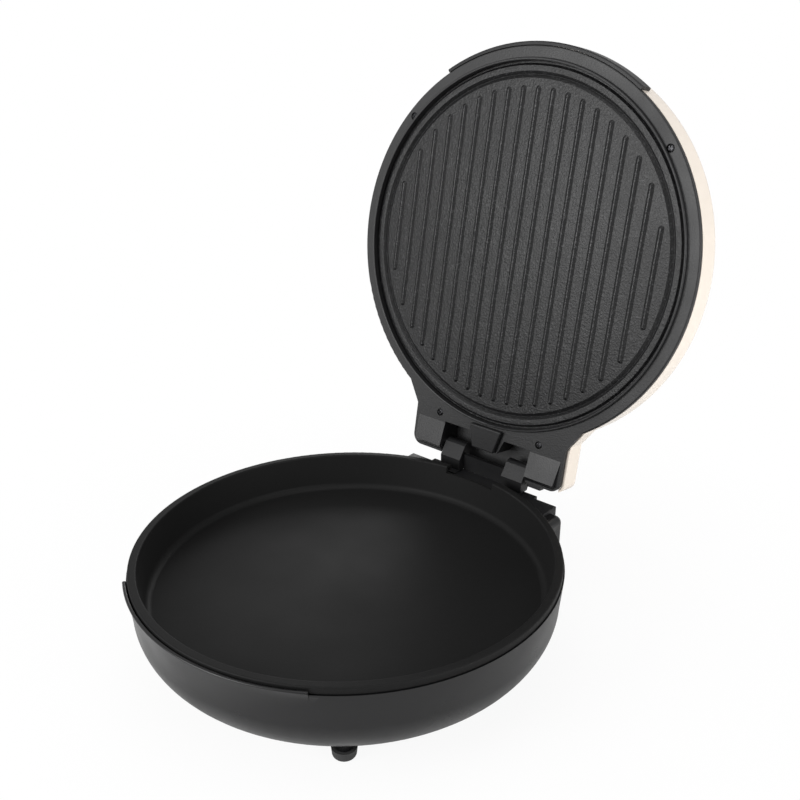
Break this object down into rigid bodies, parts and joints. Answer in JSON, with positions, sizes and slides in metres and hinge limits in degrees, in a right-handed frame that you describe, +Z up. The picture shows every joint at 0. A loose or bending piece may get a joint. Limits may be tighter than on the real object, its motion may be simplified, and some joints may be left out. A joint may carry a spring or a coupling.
{
  "type": "pancake maker",
  "caption": "Round electric pancake maker: dark bowl-shaped base with a deep pan, cream hinged lid standing open with a ridged plate on a floating rear hinge.",
  "frame": {"origin": "centre of the whole object's bounding box, at table height, lid open", "axes": "+Z up, -Y towards the front lip, +X to the right seen from the front; the hinge axis lies along X"},
  "size_m": [0.322, 0.4296, 0.4305],
  "materials": {
    "housing": "dark charcoal, satin moulded",
    "pan_coat": "smooth dark non-stick coating on aluminium",
    "plate_coat": "dark non-stick coating on aluminium, fine grain",
    "frame_black": "black moulded with a fine grain, satin",
    "cream": "cream, smooth and glossy",
    "black_plastic": "black, satin moulded",
    "feet": "black rubber, matt",
    "steel": "plain steel, satin",
    "dark_screw": "blackened steel, satin",
    "element": "dark oxidised steel tube",
    "shield": "bare rolled sheet",
    "board": "green circuit board",
    "terminal": "off-white moulded nylon",
    "ceramic": "off-white phenolic and ceramic",
    "amber": "clear amber, polished",
    "green": "clear green, polished",
    "button": "black, glossy"
  },
  "bodies": {
    "base": {"lower_housing": "housing", "bottom_cover": "black_plastic", "bottom_cover_screws": "steel", "front_foot_left": "feet", "front_foot_right": "feet", "rear_foot_left": "feet", "rear_foot_right": "feet", "lower_pan": "pan_coat", "pan_screws": "steel", "hinge_box": "black_plastic", "hinge_box_screws": "steel", "cord_gland": "black_plastic", "terminal_block": "terminal", "lower_heating_element": "element", "lower_heat_shield": "shield", "lower_shield_screws": "steel", "lower_thermostat": "ceramic", "lower_thermostat_screws": "steel", "lower_thermal_fuse": "steel", "lower_fuse_clip": "steel"},
    "bracket": {"floating_bracket": "black_plastic", "hinge_pin_left": "steel", "hinge_pin_right": "steel"},
    "lid": {"lid_frame": "frame_black", "lid_shell": "cream", "lid_grip": "black_plastic", "grill_plate": "plate_coat", "plate_screws": "steel", "frame_screws": "dark_screw", "cable_duct": "black_plastic", "control_panel": "black_plastic", "indicator_lens_left": "amber", "indicator_lens_right": "green", "switch_module": "board", "switch_screws": "steel", "upper_heating_element": "element", "upper_heat_shield": "shield", "upper_shield_screws": "steel", "upper_thermostat": "ceramic", "upper_thermostat_screws": "steel", "upper_thermal_fuse": "steel", "upper_fuse_clip": "steel"},
    "button_left": {"button_left": "button"},
    "button_right": {"button_right": "button"}
  },
  "joints": [
    {"name": "bracket_float", "type": "slide", "parent": "base", "child": "bracket", "axis": [0, 0, 1], "range_m": [0, 0.012]},
    {"name": "lid_hinge", "type": "hinge", "parent": "bracket", "child": "lid", "pos_m": [0, 0.12753, 0.0939], "axis": [1, 0, 0], "range_deg": [0, 100.2]},
    {"name": "button_left_press", "type": "slide", "parent": "lid", "child": "button_left", "axis": [0, -0.9842, 0.1771], "range_m": [0, 0.003], "stiffness_N_per_m": 300, "springref_m": -0.0005},
    {"name": "button_right_press", "type": "slide", "parent": "lid", "child": "button_right", "axis": [0, -0.9842, 0.1771], "range_m": [0, 0.003], "stiffness_N_per_m": 300, "springref_m": -0.0005}
  ]
}
